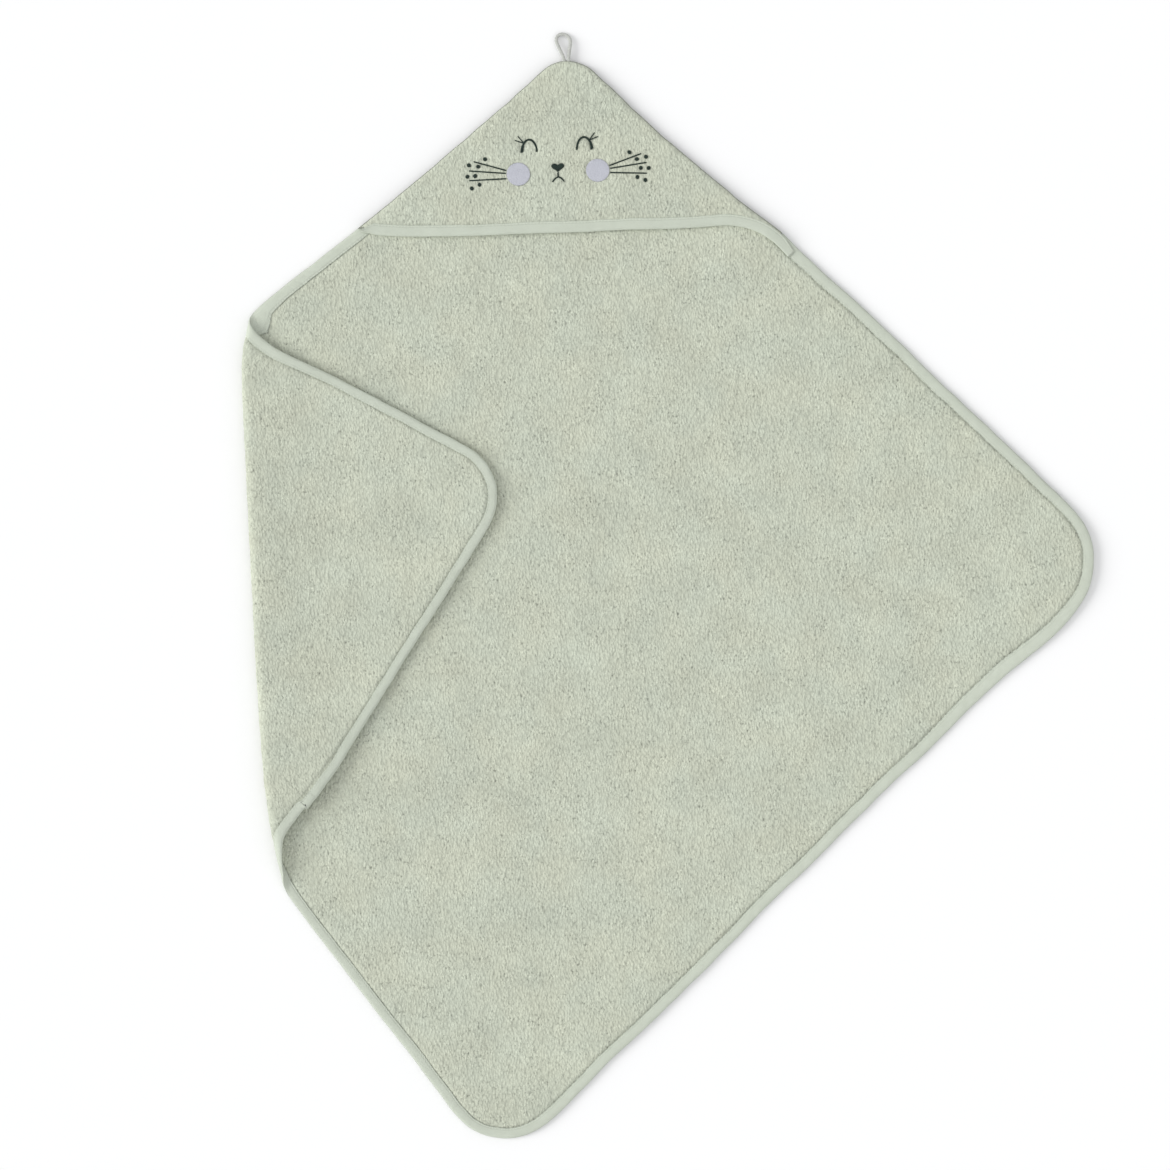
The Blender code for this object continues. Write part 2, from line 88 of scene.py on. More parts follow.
# How far each edge bows outwards, and a power that moves the bow along it.
HOOD_LEFT_BOW = (-0.003, 1.0)
HOOD_RIGHT_BOW = (-0.0045, 1.3)
RIGHT_BOW = (0.0015, 1.1)
LOWER_RIGHT_BOW = (0.0005, 1.0)
LOWER_RIGHT_FLARE = (0.0075, 0.100, 0.048)  # how far it stands out, where, and over what length
LOWER_LEFT_BOW = (-0.002, 0.8)

OFF_FLOOR = 0.0004  # the least that the cloth stands off the floor
RIGHT_CURL = (0.0022, 0.09)  # how far the right corner stands up, and over what length
TERRY_HALF = 0.0018  # half the cloth's thickness
TUCKED_HALF = 0.0008  # half its squeezed edge, inside the tape
TAPE_WIDTH = 0.012
SEAM_ROUND = 0.0045  # how far in a turned seam is rounded
TUCK = 0.002  # how far the cloth stops short of the tape's outer fold

# ---- the fold
ROLL_RADIUS = 0.0050  # of the cloth's middle, where the fold is tight
LOOSE_RADIUS = 0.0062  # at its open lower end
LOOSE_REACH = 0.125
LAYER_STEP = 0.0052  # from the body's middle up to the folded corner's
FLAP_FALL = 0.030  # over which the corner comes down from the roll, halfway along the fold
SLOW_HIGH = (0.050, 0.070)  # how much longer it takes at the fold's ends, and over what length
SLOW_LOW = (0.110, 0.130)
PULL_HIGH = (0.0090, 0.030)  # how far the fold's ends bend into the towel, and over what length
PULL_LOW = (0.0175, 0.070)
SLIP_HIGH = 0.020  # how far the bound edge comes along the fold while it turns over it
SLIP_LOW = 0.050
FLAP_HIGH = (0.028, -0.0322)  # a bend in the corner's upper edge, from the fold's upper end
FLAP_LOW = (0.0704, 0.1068)  # bends in its lower edge, from the fold's lower end
FLAP_FOOT = (0.0130, 0.0364)
# How broad the binding shows, as a share of the tape's width, at steps along the edge from the hood's
# right corner, from the fold, and from the hood's left corner.
WIDTH_FROM_RIGHT = (
    (0, 1.0), (0.35, 0.92), (0.47, 0.90), (0.53, 1.12), (0.60, 1.18), (0.75, 0.98), (1.2, 0.90),
)
WIDTH_PAST_FOLD = ((-0.03, 0.84), (0.03, 0.76))
WIDTH_BEFORE_HOOD = (
    (-0.210, 0.78), (-0.172, 0.74), (-0.158, 0.66), (-0.149, 1.40), (-0.140, 1.95),
    (-0.131, 1.75), (-0.119, 1.12), (-0.100, 0.98), (0, 0.92),
)
UNDER_HOOD = 0.006  # how far the binding runs on under the hood's left corner
EDGE_LIFT = (0.0022, 0.030)  # how far the corner's free edge stands up, and over what width
FOLD_MARGIN = 0.024  # how far from the fold's line cloth may still be seen in the roll

STITCH_PITCH = 0.0034
STITCH_LENGTH = 0.0027
STITCH_RADIUS = 0.00024
STITCH_POINTS = 6
STITCH_INSET = TAPE_WIDTH - 0.0015

GROOVE = 0.0010  # half the width of the painted shade in the groove between a binding and the pile
GROOVE_RINGS = (0.0119, 0.0125, 0.0134, 0.0146)

DENSE = 0.0028
COARSE = 0.0095


# ---- numbers that vary smoothly
def noise(x, y, size, seed):
    """Lumps about one size across, from -1 to 1."""
    lattice = np.random.default_rng(seed).uniform(-1, 1, (251, 257))
    gx, gy = x / size, y / size
    i, j = np.floor(gx).astype(int), np.floor(gy).astype(int)
    fx, fy = gx - i, gy - j
    fx, fy = fx * fx * (3 - 2 * fx), fy * fy * (3 - 2 * fy)
    low = lattice[i % 251, j % 257] * (1 - fx) + lattice[(i + 1) % 251, j % 257] * fx
    high = lattice[i % 251, (j + 1) % 257] * (1 - fx) + lattice[(i + 1) % 251, (j + 1) % 257] * fx
    return low * (1 - fy) + high * fy


def ease(value, start, end):
    """0 before start, 1 after end, smooth between."""
    share = np.clip((value - start) / (end - start), 0, 1)
    return share * share * (3 - 2 * share)


def bell(distance, reach):
    """1 at no distance, falling to nothing beyond about twice the reach."""
    return np.exp(-((distance / reach) ** 2))


# ---- plane geometry
def walk(start, edge):
    length, heading = edge
    turn = math.radians(heading)
    return start + length * np.array((math.cos(turn), math.sin(turn)))


def unit(step):
    return step / np.linalg.norm(step)


def rounded(corners, radii, step=0.003):
    """A run of corners as a path, each inner corner rounded by its radius."""
    path = [corners[0]]
    for before, corner, after, radius in zip(corners, corners[1:], corners[2:], radii):
        arrive, leave = unit(corner - before), unit(after - corner)
        turn = math.atan2(arrive[0] * leave[1] - arrive[1] * leave[0], arrive @ leave)
        start = corner - arrive * radius * math.tan(abs(turn) / 2)
        centre = start + np.array((-arrive[1], arrive[0])) * math.copysign(radius, turn)
        spoke = start - centre
        for angle in np.linspace(0, turn, 2 + int(abs(turn) * radius / step)):
            cosine, sine = math.cos(angle), math.sin(angle)
            arm = np.array((spoke[0] * cosine - spoke[1] * sine, spoke[0] * sine + spoke[1] * cosine))
            path.append(centre + arm)
    path.append(corners[-1])
    return np.array(path)


def lengths(path):
    """How far along a path each of its points is."""
    return np.concatenate(([0], np.cumsum(np.linalg.norm(np.diff(path, axis=0), axis=1))))


def read_along(path, values, at):
    """Values given at a path's points, read at lengths along it."""
    along = lengths(path)
    return np.stack([np.interp(at, along, column) for column in values.T], -1)


def resampled(path, spacing):
    """The path with evenly spaced points."""
    length = lengths(path)[-1]
    return read_along(path, path, np.linspace(0, length, 2 + int(length / spacing)))


def smoothed(path, reach):
    """An evenly spaced path with its kinks eased over about the reach; its ends stay."""
    spacing = lengths(path)[1]
    count = min(int(3 * reach / spacing), len(path) - 1)
    weights = np.exp(-0.5 * (np.arange(-count, count + 1) * spacing / reach) ** 2)
    before = 2 * path[0] - path[count:0:-1]
    after = 2 * path[-1] - path[-2 : -count - 2 : -1]
    padded = np.concatenate((before, path, after))
    return np.stack([np.convolve(padded[:, a], weights / weights.sum(), "valid") for a in range(2)], -1)


def inward(path):
    """Unit normals on the right-hand side, which is the inside of a clockwise outline."""
    run = np.gradient(path, axis=0)
    run /= np.linalg.norm(run, axis=1)[:, None]
    return np.stack((run[:, 1], -run[:, 0]), -1)


def bowed(path, start, end, bow):
    """The path with one edge of the cloth bowed outwards."""
    amount, skew = bow
    edge = end - start
    outward = np.array((-edge[1], edge[0])) / np.linalg.norm(edge)
    share = (path - start) @ edge / (edge @ edge)
    close = 1 - ease(np.abs((path - start) @ outward), 0.006, 0.020)
    swell = close * np.sin(np.pi * np.clip(share, 0, 1) ** skew)
    return path + outward * (amount * swell)[:, None]


def flared(path, start, end, flare):
    """The path with one edge of the cloth standing out over a short stretch."""
    amount, place, reach = flare
    run = unit(end - start)
    outward = np.array((-run[1], run[0]))
    close = 1 - ease(np.abs((path - start) @ outward), 0.006, 0.020)
    swell = close * bell((path - start) @ run - place, reach)
    return path + outward * (amount * swell)[:, None]


def wavered(path, seed, slow=0.0011, quick=0.0003):
    """The path with the unevenness of a sewn edge."""
    along = lengths(path)
    sway = slow * noise(along, 0 * along, 0.055, seed) + quick * noise(along, 0 * along, 0.014, seed + 1)
    ends = ease(along, 0, 0.02) * ease(along[-1] - along, 0, 0.02)
    return path + inward(path) * (sway * ends)[:, None]


def side_of(points, start, end):
    """How far points lie to the right of a line."""
    edge = unit(end - start)
    return (points - start) @ np.array((edge[1], -edge[0]))


# ---- places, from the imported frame
JOINTS = {joint["name"]: joint for joint in frame["joints"]}
FOLD = np.array(JOINTS["corner_fold"]["pos_m"])
ALONG = -np.array(JOINTS["corner_fold"]["axis"])[:2]  # up the fold, towards the hood
INTO = np.array((ALONG[1], -ALONG[0]))  # from the fold into the towel
FOLD_RANGE = math.radians(JOINTS["corner_fold"]["range_deg"][1])


def layout():
    """The corners of the cloth, walked from the hood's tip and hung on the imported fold."""
    tip = np.zeros(2)
    hood_right = walk(tip, HOOD_RIGHT_EDGE)
    right = walk(hood_right, RIGHT_EDGE)
    bottom = walk(right, LOWER_RIGHT_EDGE)
    fold_low = walk(bottom, LOWER_LEFT_EDGE)
    hood_left = walk(tip, HOOD_LEFT_EDGE)
    fold_high = walk(hood_left, UPPER_LEFT_EDGE)
    flap_tip = walk(fold_high, FLAP_UPPER_EDGE)
    shift = FOLD[:2] - (fold_high + fold_low) / 2
    corners = (tip, hood_right, right, bottom, fold_low, hood_left, fold_high, flap_tip)
    return [corner + shift for corner in corners]


TIP, HOOD_RIGHT, RIGHT, BOTTOM, FOLD_LOW, HOOD_LEFT, FOLD_HIGH, FLAP_TIP = layout()
BODY_Z = (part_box("towel_panel")[0].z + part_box("towel_panel")[1].z) / 2
HOOD_Z = (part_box("hood_panel")[0].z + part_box("hood_panel")[1].z) / 2
FOLD_HALF = np.linalg.norm(FOLD_HIGH - FOLD_LOW) / 2


def in_cloth(point):
    """A place on the lying body cloth, as (across, along) from the fold's middle."""
    offset = point - FOLD[:2]
    return np.stack((offset @ INTO, offset @ ALONG), -1)


def settle(x, y):
    """How far the cloth stands off the floor."""
    curl = RIGHT_CURL[0] * bell(np.hypot(x - RIGHT[0], y - RIGHT[1]), RIGHT_CURL[1])
    waves = 0.00085 * (1 + noise(x, y, 0.15, 11)) + 0.0003 * (1 + noise(x, y, 0.05, 12))
    return OFF_FLOOR + curl + waves


def fold_shift(along):
    """How far into the towel the fold's line bends."""
    high = PULL_HIGH[0] * bell(np.maximum(FOLD_HALF - along, 0), PULL_HIGH[1])
    return high + PULL_LOW[0] * np.exp(-np.maximum(FOLD_HALF + along, 0) / PULL_LOW[1])


def roll_radius(along):
    """The radius at which the cloth's middle turns over."""
    loose = bell(np.maximum(FOLD_HALF + along, 0), LOOSE_REACH)
    return ROLL_RADIUS + (LOOSE_RADIUS - ROLL_RADIUS) * loose


def flap_fall(along):
    """Over what length the folded corner comes down from the roll."""
    high = SLOW_HIGH[0] * bell(FOLD_HALF - along, SLOW_HIGH[1])
    low = SLOW_LOW[0] * bell(FOLD_HALF + along, SLOW_LOW[1])
    return FLAP_FALL + (high + low)


def rolled(across, along, height=0.0):
    """Where cloth comes to lie across the fold, and how high, before it settles."""
    shift, radius = fold_shift(along), roll_radius(along)
    past = across - shift
    turn = np.clip(-past / (math.pi * radius), 0, 1) * math.pi
    arm = radius - height
    beyond = np.maximum(-past - math.pi * radius, 0)
    fall = (2 * radius - LAYER_STEP) * (1 - bell(beyond, flap_fall(along)))
    place = shift + np.maximum(past, 0) + beyond - arm * np.sin(turn)
    return place, BODY_Z + radius - arm * np.cos(turn) - fall


def unrolled(placed):
    """The flat cloth of the folded corner, from where it is to lie, as (across, along)."""
    place, along = placed[:, 0], placed[:, 1]
    return np.stack((2 * fold_shift(along) - math.pi * roll_radius(along) - place, along), -1)


def laid(cloth, height):
    """The lying towel: cloth is (across, along) in the flat, height is above the cloth's middle."""
    across, along = cloth[..., 0], cloth[..., 1]
    place, level = rolled(across, along, height)
    flat = FOLD[:2] + place[..., None] * INTO + along[..., None] * ALONG
    return np.concatenate((flat, (level + settle(flat[..., 0], flat[..., 1]))[..., None]), -1)


def edge_lift(cloth, to_edge):
    """How far the folded corner's free edge stands up; its heights are taken down by this."""
    amount, reach = EDGE_LIFT
    across, along = cloth[..., 0], cloth[..., 1]
    uneven = 0.8 + 0.2 * noise(across, along, 0.06, 13)
    return amount * uneven * bell(to_edge, reach) * ease(-across, 0.02, 0.06)


def fold_weight(cloth, to_edge=0):
    """How far cloth turns with the corner, so that it lies flat on the floor when that is opened."""
    across, along = cloth[..., 0], cloth[..., 1]
    middle_of = laid(cloth, -edge_lift(cloth, to_edge))
    place, rise = in_cloth(middle_of[..., :2])[..., 0], middle_of[..., 2] - FOLD[2]
    now = np.arctan2(rise, place) % (2 * math.pi)
    drop = FOLD[2] - BODY_Z - OFF_FLOOR
    flat = math.pi + np.arcsin(np.clip(drop / np.hypot(place, rise), 0, 1))
    return np.where(across < fold_shift(along), np.clip((flat - now) / FOLD_RANGE, 0, 1), 0)


def off_seams(points, left, right):
    """How far points lie inside the hood's two seams, drawn from the tip to these ends."""
    return np.maximum(side_of(points, left, TIP), 0), np.maximum(side_of(points, TIP, right), 0)


def puff(points):
    """How far the hood stands up between its seams."""
    return 0.0012 * ease(np.minimum(*off_seams(points, HOOD_LEFT, HOOD_RIGHT)), 0, 0.09)


def on_hood(points, height):
    """A place in the hood, height above its middle."""
    x, y = points[..., 0], points[..., 1]
    level = HOOD_Z + puff(points) + height + settle(x, y)
    return np.concatenate((points, level[..., None]), -1)


def hood_weight(points):
    """How far the hood's cloth lifts: not at its seams or the mouth's ends, and fully halfway between."""
    left, right = off_seams(points, MOUTH[-1], MOUTH[0])
    return 4 * left * right / np.maximum((left + right) ** 2, 1e-9)


# ---- outlines
def bound_edge():
    """The body cloth's bound edge in the flat, clockwise from the hood's right corner."""
    corners = (HOOD_RIGHT, RIGHT, BOTTOM, FOLD_LOW, FOLD_HIGH, HOOD_LEFT, FLAP_TIP)
    hood_right, right, bottom, fold_low, fold_high, hood_left, tip = map(in_cloth, corners)
    to_low, to_high = unit(fold_low - bottom), unit(fold_high - hood_left)
    low = fold_low - to_low * PULL_LOW[0] / abs(to_low[0])
    high = fold_high - to_high * PULL_HIGH[0] / abs(to_high[0])
    body = rounded([hood_right, right, bottom, low], [RIGHT_CORNER_RADIUS, BOTTOM_CORNER_RADIUS])
    body = resampled(body, 0.002)
    body = bowed(body, hood_right, right, RIGHT_BOW)
    body = flared(bowed(body, right, bottom, LOWER_RIGHT_BOW), right, bottom, LOWER_RIGHT_FLARE)
    body = bowed(body, bottom, fold_low, LOWER_LEFT_BOW)
    start, end = low[1] + SLIP_LOW, high[1] - SLIP_HIGH
    flap = [
        np.array((fold_shift(start), start)),
        fold_low + FLAP_FOOT,
        fold_low + FLAP_LOW,
        tip,
        fold_high + FLAP_HIGH,
        np.array((fold_shift(end), end)),
    ]
    flap = unrolled(resampled(rounded(flap, FLAP_RADII), 0.002))
    tucked = hood_left - unit(fold_high - hood_left) * UNDER_HOOD
    path = resampled(np.concatenate((body, flap, [high, hood_left, tucked])), 0.002)
    return wavered(smoothed(path, 0.008), 21)


def seam_edge():
    """The hood's turned seam, clockwise from its left corner over the tip to its right one."""
    path = resampled(rounded([HOOD_LEFT, TIP, HOOD_RIGHT], [HOOD_TIP_RADIUS]), 0.002)
    path = bowed(path, HOOD_LEFT, TIP, HOOD_LEFT_BOW)
    path = bowed(path, TIP, HOOD_RIGHT, HOOD_RIGHT_BOW)
    return wavered(smoothed(path, 0.006), 31, slow=0.0008, quick=0.0005)


def mouth_edge():
    """The hood's open edge, from its right corner to its left one."""
    points = [HOOD_RIGHT + np.array(step) for step in MOUTH_FROM_RIGHT]
    points += [HOOD_LEFT + np.array(step) for step in MOUTH_FROM_LEFT]
    return wavered(smoothed(resampled(np.array(points), 0.002), 0.008), 41, slow=0.0005, quick=0.0002)


EDGE = bound_edge()
SEAM = seam_edge()
MOUTH = mouth_edge()
TO_FOLD = lengths(EDGE)[np.argmax(EDGE[:, 0] < -ROLL_RADIUS)]  # along the edge, to the roll


def edge_width(along):
    """The binding's width along the bound edge, as a share of the tape's."""
    to_hood = lengths(EDGE)[-1] - UNDER_HOOD
    runs = ((0, WIDTH_FROM_RIGHT), (TO_FOLD, WIDTH_PAST_FOLD), (to_hood, WIDTH_BEFORE_HOOD))
    table = [(start + step, share) for start, steps in runs for step, share in steps]
    return np.interp(along, *np.array(table).T)


# ---- meshes
def in_scene(name, data):
    """A new object in the scene."""
    made = bpy.data.objects.new(name, data)
    bpy.context.scene.collection.objects.link(made)
    return made


def piece(name, points, faces, look, cloth):
    """A smooth mesh with its faces pointing out, and where each point lies in its own cloth."""
    mesh = bpy.data.meshes.new(name)
    mesh.from_pydata(points.reshape(-1, 3).tolist(), [], faces)
    place = mesh.attributes.new("cloth", "FLOAT_VECTOR", "POINT")
    place.data.foreach_set("vector", np.asarray(cloth, np.float32).ravel())
    solid = bmesh.new()
    solid.from_mesh(mesh)
    bmesh.ops.recalc_face_normals(solid, faces=solid.faces)
    solid.to_mesh(mesh)
    solid.free()
    mesh.shade_smooth()
    mesh.materials.append(look)
    return in_scene(name, mesh)


def lattice_faces(rows, columns):
    """Faces of a lattice whose columns close into a ring, with its two ends capped."""
    first = np.arange(rows - 1)[:, None] * columns
    column = np.arange(columns)
    here, beside = first + column, first + (column + 1) % columns
    quads = np.stack((here, beside, beside + columns, here + columns), -1)
    caps = [list(range(columns)), list(range((rows - 1) * columns, rows * columns))]
    return quads.reshape(-1, 4).tolist() + caps


def square_to(routes, leaning):
    """Two unit vectors at each point of the routes, square to them and to each other."""
    run = np.gradient(routes, axis=-2)
    run /= np.linalg.norm(run, axis=-1, keepdims=True)
    side = np.cross(run, leaning)
    side /= np.linalg.norm(side, axis=-1, keepdims=True)
    return side, np.cross(side, run)


def threads(name, routes, radius, look, cloth, sides=6):
    """Round strands with equally many points, thinner at both ends, as one mesh."""
    routes = np.asarray(routes, float)
    strands, count = routes.shape[:2]
    side, up = square_to(routes, (0.28, 0.17, 0.94))
    thick = np.full(count, radius)
    thick[0] = thick[-1] = radius * 0.45
    turn = np.linspace(0, 2 * math.pi, sides, endpoint=False)[:, None]
    spokes = side[:, :, None] * np.cos(turn) + up[:, :, None] * np.sin(turn)
    rings = routes[:, :, None] + thick[:, None, None] * spokes
    one = lattice_faces(count, sides)
    firsts = np.arange(strands) * count * sides
    faces = [[int(first) + vertex for vertex in face] for first in firsts for face in one]
    cloth = np.repeat(np.asarray(cloth, float).reshape(strands, count, 1, -1), sides, 2)
    return piece(name, rings, faces, look, cloth)


def closest(points, targets):
    """For each point, how far the closest target is, and its number."""
    tree = KDTree(len(targets))
    for index, target in enumerate(targets):
        tree.insert((*target, 0), index)
    tree.balance()
    found = [tree.find((*point, 0)) for point in points]
    return np.array([hit[2] for hit in found]), np.array([hit[1] for hit in found])


def nearest(points, targets):
    return closest(points, targets)[0]


def scattered(outline, spacing, keep, seed):
    """Shaken rows of points over the outline's box, where keep allows."""
    low, high = outline.min(0), outline.max(0)
    rows = np.arange(low[1], high[1], spacing * math.sqrt(0.75))
    columns = np.arange(low[0], high[0], spacing)
    x, y = np.meshgrid(columns, rows)
    x = x + (np.arange(len(rows)) % 2)[:, None] * spacing / 2
    points = np.stack((x, y), -1).reshape(-1, 2)
    points = points + np.random.default_rng(seed).uniform(-0.27, 0.27, points.shape) * spacing
    return points[keep(points)]


def meshed(outline, points):
    """The points inside the outline, and the triangles that fill it through them."""
    count = len(outline)
    corners = [Vector(point) for point in np.concatenate((outline, points))]
    found = delaunay_2d_cdt(corners, [], [list(range(count))], 1, 1e-7)
    sources = [source[0] for source in found[3]]
    faces = np.array([[sources[vertex] for vertex in face] for face in found[2]])
    used = np.unique(faces[faces >= count])
    numbers = np.arange(count + len(points))
    numbers[used] = count + np.arange(len(used))
    return points[used - count], numbers[faces]


def sheet(name, outline, front, back, place, look):
    """A closed sheet of cloth over an outline. front and back are the points of its faces, laid by
    place(points, side): side is 1 for the front, -1 for the back and 0 for the edge."""
    count = len(outline)
    front, front_faces = meshed(outline, front)
    back, back_faces = meshed(outline, back)
    back_faces = np.where(back_faces >= count, back_faces + len(front), back_faces)[:, ::-1]
    flat = np.concatenate((outline, front, back))
    side = np.concatenate((np.zeros(count), np.ones(len(front)), -np.ones(len(back))))
    cloth = np.concatenate((flat, 0.5 * side[:, None]), 1)
    made = piece(name, place(flat, side), front_faces.tolist() + back_faces.tolist(), look, cloth)
    return made, flat


def paint_groove_shade(made, shade_amount):
    """Stores, for the look, how much painted shade falls in the groove beside a binding."""
    groove_shade = made.data.attributes.new("groove_shade", "FLOAT", "POINT")
    groove_shade.data.foreach_set("value", shade_amount.astype(np.float32))


def groove_shading(to_edge):
    """How much painted shade falls in the groove in the pile, from the distance to a binding's inner edge.
    """
    return bell(to_edge, GROOVE)


def pile(points, seed):
    """The unevenness of looped pile."""
    x, y = points[..., 0], points[..., 1]
    sizes = ((0.30, 0.0031), (0.20, 0.0068), (0.22, 0.021))
    return 0.001 * sum(much * noise(x, y, size, seed + n) for n, (much, size) in enumerate(sizes))


# ---- shaders
class Look:
    """A material, built a node at a time onto its Principled shader."""

    def __init__(self, name, roughness, sheen):
        self.material = bpy.data.materials.new(name + "_look")
        self.material["slot"] = name
        self.material.use_nodes = True
        self.tree = self.material.node_tree
        self.surface = self.tree.nodes["Principled BSDF"]
        self.surface.inputs["Roughness"].default_value = roughness
        self.surface.inputs["Sheen Weight"].default_value = sheen
        self.surface.inputs["Specular IOR Level"].default_value = 0.15

    def node(self, kind, inputs, output=0, **settings):
        """A new node's output, its inputs given as numbers or as other nodes' outputs."""
        made = self.tree.nodes.new("ShaderNode" + kind)
        for setting, value in settings.items():
            setattr(made, setting, value)
        for socket, value in inputs.items():
            if isinstance(value, bpy.types.NodeSocket):
                self.tree.links.new(value, made.inputs[socket])
            else:
                made.inputs[socket].default_value = value
        return made.outputs[output]

    def place(self, stretch=(1, 1, 1)):
        """Where a point lies in its own cloth."""
        where = self.node("Attribute", {}, "Vector", attribute_name="cloth")
        return self.node("Mapping", {"Vector": where, "Scale": stretch})

    def lumps(self, place, size, detail=2.0):
        inputs = {"Vector": place, "Scale": 1 / size, "Detail": detail}
        return self.node("TexNoise", inputs, "Fac")

    def on_front(self, place, behind):
        """1 on a cloth's front and less on its back."""
        side = self.node("SeparateXYZ", {"Vector": place}, "Z")
        return self.between(side, behind, 1, -0.3, 0.3)

    def between(self, value, low, high, start=0.3, end=0.7):
        """The value carried from one range into another."""
        inputs = {"Value": value, "From Min": start, "From Max": end, "To Min": low, "To Max": high}
        return self.node("MapRange", inputs)

    def maths(self, operation, first, second):
        return self.node("Math", {0: first, 1: second}, operation=operation)

    def coloured(self, share, first, second):
        """A colour between two, by a share that varies."""
        inputs = {0: share, 6: (*first, 1), 7: (*second, 1)}
        return self.node("Mix", inputs, 2, data_type="RGBA")

    def shaded(self, colour, value):
        """The colour, made lighter or darker by the value, as the surface's base colour."""
        colour = self.node("HueSaturation", {"Color": colour, "Value": value})
        self.tree.links.new(colour, self.surface.inputs["Base Color"])

    def bumped(self, height, distance):
        normal = self.node("Bump", {"Height": height, "Distance": distance})
        self.tree.links.new(normal, self.surface.inputs["Normal"])


def terry_look(name, cool, warm):
    """Looped pile: soft patches of two greens; painted shade between the loops and painted highlight on
    their tops; dark pits of painted shade and light specks in clusters; painted shade in the groove
    beside a binding.
    """
    look = Look(name, roughness=0.95, sheen=0.12)
    place = look.place()
    patches = look.lumps(place, 0.050, 3)
    clumps = look.lumps(place, 0.0065, 3)
    broad = look.lumps(place, 0.045, 3)
    upright = look.place((1, 0.62, 1))
    loops = look.node("TexVoronoi", {"Vector": upright, "Scale": 450}, "Distance")
    pits = look.lumps(upright, 0.0020, 2)
    lights = look.lumps(look.place((1.1, 0.8, 1.3)), 0.0018, 1)
    open_pile = look.between(look.lumps(place, 0.016, 3), 0.12, 1.1, 0.38, 0.60)
    # Painted shade in the gaps between the loops and painted highlight on their raised tops, matching the
    # bump.
    value = look.between(loops, 1.06, 0.88, 0.1, 0.75)
    value = look.maths("MULTIPLY", value, look.between(clumps, 0.95, 1.05))
    value = look.maths("MULTIPLY", value, look.between(broad, 0.945, 1.055))
    # Painted shade in the sunken pits where the pile stands open.
    pit_shade = look.maths("MULTIPLY", look.between(pits, 0, 0.43, 0.55, 0.72), open_pile)
    value = look.maths("SUBTRACT", value, pit_shade)
    light_spots = look.maths("MULTIPLY", look.between(lights, 0, 0.19, 0.56, 0.72), open_pile)
    value = look.maths("ADD", value, light_spots)
    # Painted shade in the groove beside a binding, weaker on the cloth's back.
    groove_shade = look.node("Attribute", {}, "Fac", attribute_name="groove_shade")
    groove_shade = look.maths("MULTIPLY", groove_shade, look.on_front(place, 0.45))
    value = look.maths("SUBTRACT", value, look.maths("MULTIPLY", groove_shade, look.between(pits, 0.06, 0.24)))
    look.shaded(look.coloured(look.between(patches, 0, 1, 0.35, 0.65), cool, warm), value)
    height = look.maths("MULTIPLY", loops, -0.8)
    height = look.maths("ADD", height, look.maths("MULTIPLY", clumps, 0.9))
    look.bumped(look.maths("SUBTRACT", height, look.maths("MULTIPLY", pits, 0.7)), 0.0011)
    return look.material


def tape_look(name, light, dark):
    """Cotton tape in a fine slanting weave, with painted shade in the groove at its inner edge, and darker
    at its seam.
    """
    look = Look(name, roughness=0.75, sheen=0.15)
    place = look.place()
    inputs = {"Vector": place, "Scale": 420, "Distortion": 1.2, "Detail": 1}
    weave = look.node("TexWave", inputs, "Fac", wave_type="BANDS", bands_direction="DIAGONAL")
    shades = look.lumps(place, 0.011, 3)
    slubs = look.lumps(look.place((1, 6, 1)), 0.0022, 2)
    value = look.maths("MULTIPLY", look.between(weave, 0.96, 1.02, 0, 1), look.between(slubs, 0.97, 1.03))
    inset = look.node("SeparateXYZ", {"Vector": place}, "Y")
    # Painted shade in the groove at the tape's inner edge, patchy along it, and weaker on sides marked as
    # under.
    groove = look.between(inset, 0, 1, 0.0111, 0.0118)
    patchy_shade = look.between(look.lumps(look.place((1, 0.1, 1)), 0.0022, 0), 0.06, 0.46)
    groove = look.maths("MULTIPLY", groove, look.on_front(place, 0.35))
    value = look.maths("SUBTRACT", value, look.maths("MULTIPLY", groove, patchy_shade))
    seam_start = look.between(inset, 0, 1, 0.0088, 0.0093)
    seam = look.maths("MULTIPLY", seam_start, look.between(inset, 0.07, 0, 0.0096, 0.0100))
    value = look.maths("SUBTRACT", value, seam)
    look.shaded(look.coloured(look.between(shades, 0, 1), light, dark), value)
    look.bumped(look.maths("ADD", weave, slubs), 0.00025)
    return look.material


def thread_look(name, light, dark, shine=0.55):
    """Twisted thread."""
    look = Look(name, roughness=shine, sheen=0.2)
    place = look.place()
    fibres = look.lumps(place, 0.0006, 3)
    value = look.between(fibres, 0.82, 1.15)
    look.shaded(look.coloured(look.between(look.lumps(place, 0.004), 0, 1), light, dark), value)
    look.bumped(fibres, 0.0002)
    return look.material


TERRY = terry_look("terry", (0.562, 0.600, 0.496), (0.576, 0.602, 0.488))
TAPE = tape_look("tape", (0.633, 0.680, 0.578), (0.600, 0.645, 0.545))
CORD = thread_look("loop_cord", (0.560, 0.570, 0.535), (0.480, 0.490, 0.460), 0.8)
STITCH = thread_look("stitch_thread", (0.720, 0.760, 0.660), (0.660, 0.700, 0.600))
DARK = thread_look("dark_thread", (0.020, 0.040, 0.030), (0.012, 0.026, 0.020))
BLUSH = thread_look("blush_thread", (0.620, 0.630, 0.690), (0.590, 0.600, 0.660))


# ---- terry
def body_half(points):
    """Half the body cloth's thickness, how far its pile stands open, how far each point is from the
    edge, and how much painted shade it takes in the groove beside the binding."""
    apart, at = closest(points, EDGE)
    to_edge = apart / edge_width(lengths(EDGE)[at])
    to_seam = nearest(points, in_cloth(SEAM))
    bound = TUCKED_HALF + (TERRY_HALF - TUCKED_HALF) * ease(to_edge, 0.0116, 0.0150)
    seam = TERRY_HALF * np.sqrt(1 - (1 - np.clip(to_seam / SEAM_ROUND, 0, 1)) ** 2)
    return np.minimum(bound, seam), ease(to_edge, 0.0120, 0.0155), apart, groove_shading(to_edge - GROOVE_RINGS[1])


